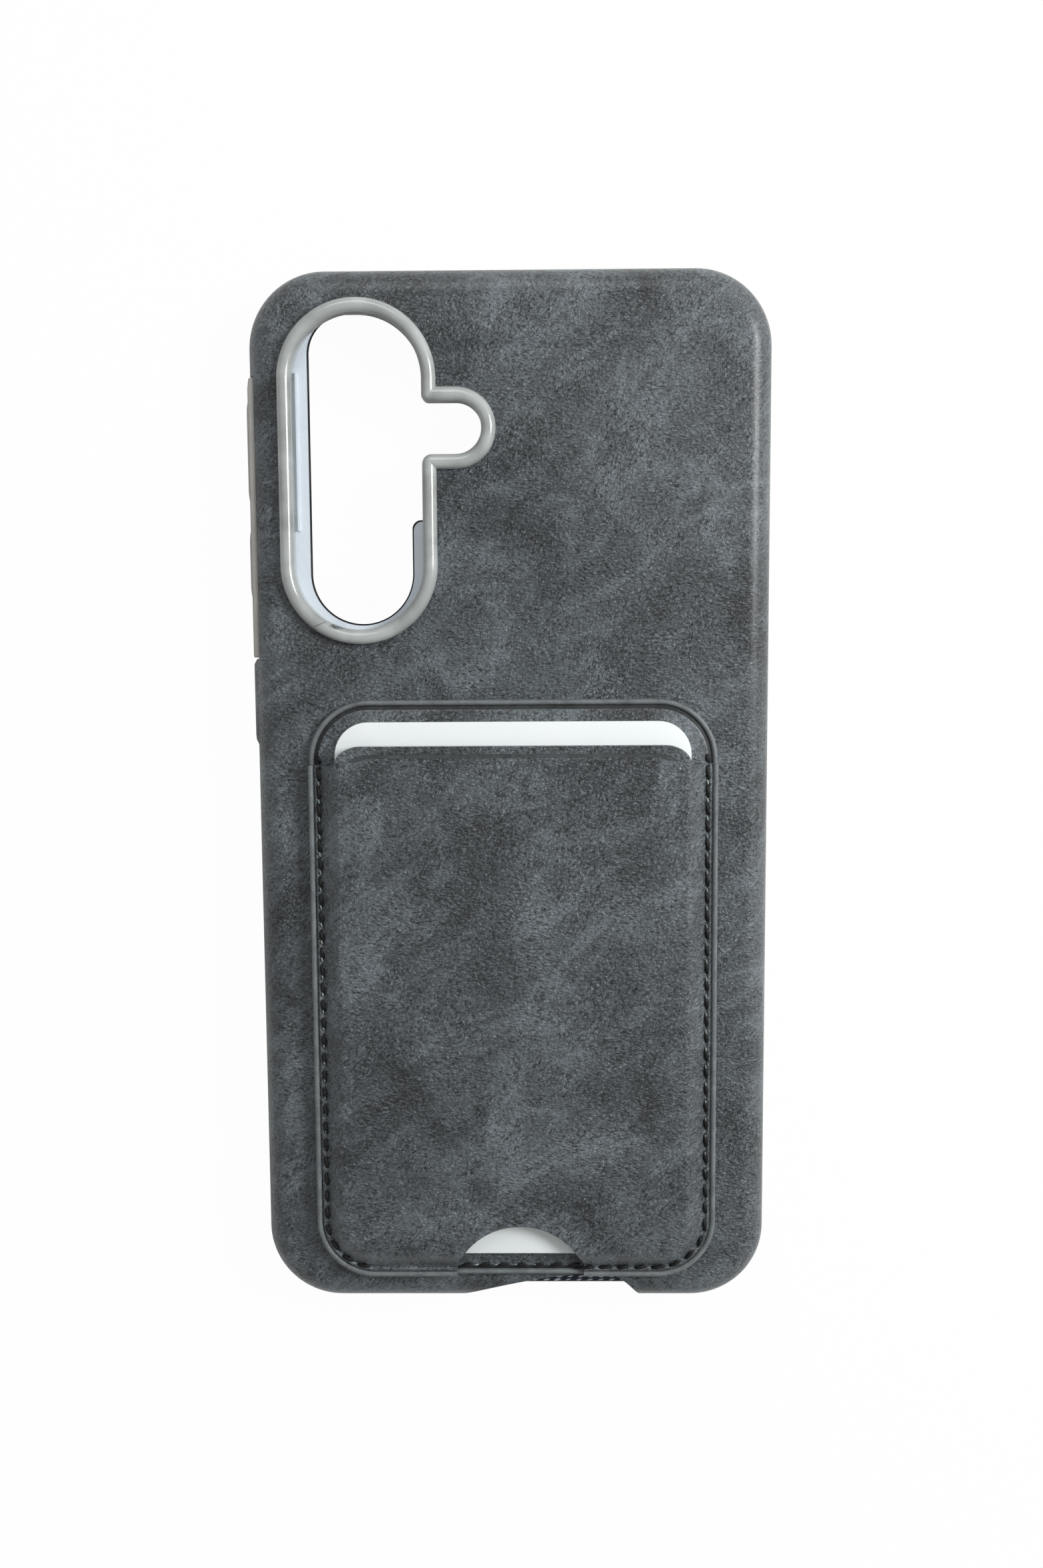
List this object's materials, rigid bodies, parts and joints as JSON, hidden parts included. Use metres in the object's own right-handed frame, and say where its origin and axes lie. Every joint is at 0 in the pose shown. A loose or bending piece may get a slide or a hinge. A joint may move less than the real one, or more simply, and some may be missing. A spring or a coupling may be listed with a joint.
{
  "type": "phone case with card slot",
  "caption": "Leather-covered back case for a phone, with a framed camera opening and a stitched, embossed card pocket that holds a blank white card.",
  "frame": {"origin": "middle of the case in plan, on the plane that its front lip lies on", "axes": "+X towards the right-hand side seen from the back, +Y along the case towards the camera end, +Z out of the back face"},
  "size_m": [0.082, 0.166, 0.0152],
  "materials": {
    "moulded_frame": "smooth warm grey flexible moulding, satin",
    "hard_shell": "pale bluish-white hard plastic, satin",
    "microfibre": "dark brushed microfibre",
    "leather": "charcoal grey coated leather, mottled, fine pebbled grain, satin",
    "rim": "light warm grey, glossy",
    "card": "blank white, smooth",
    "tape": "woven blue-grey edging",
    "thread": "black waxed sewing thread"
  },
  "bodies": {
    "root": {"side_frame": "moulded_frame", "back_shell": "hard_shell", "lining": "microfibre", "leather_cover": "leather", "camera_rim": "rim", "port_tape": "tape", "pocket_base": "leather", "pocket_front": "leather", "card": "card"}
  },
  "joints": []
}
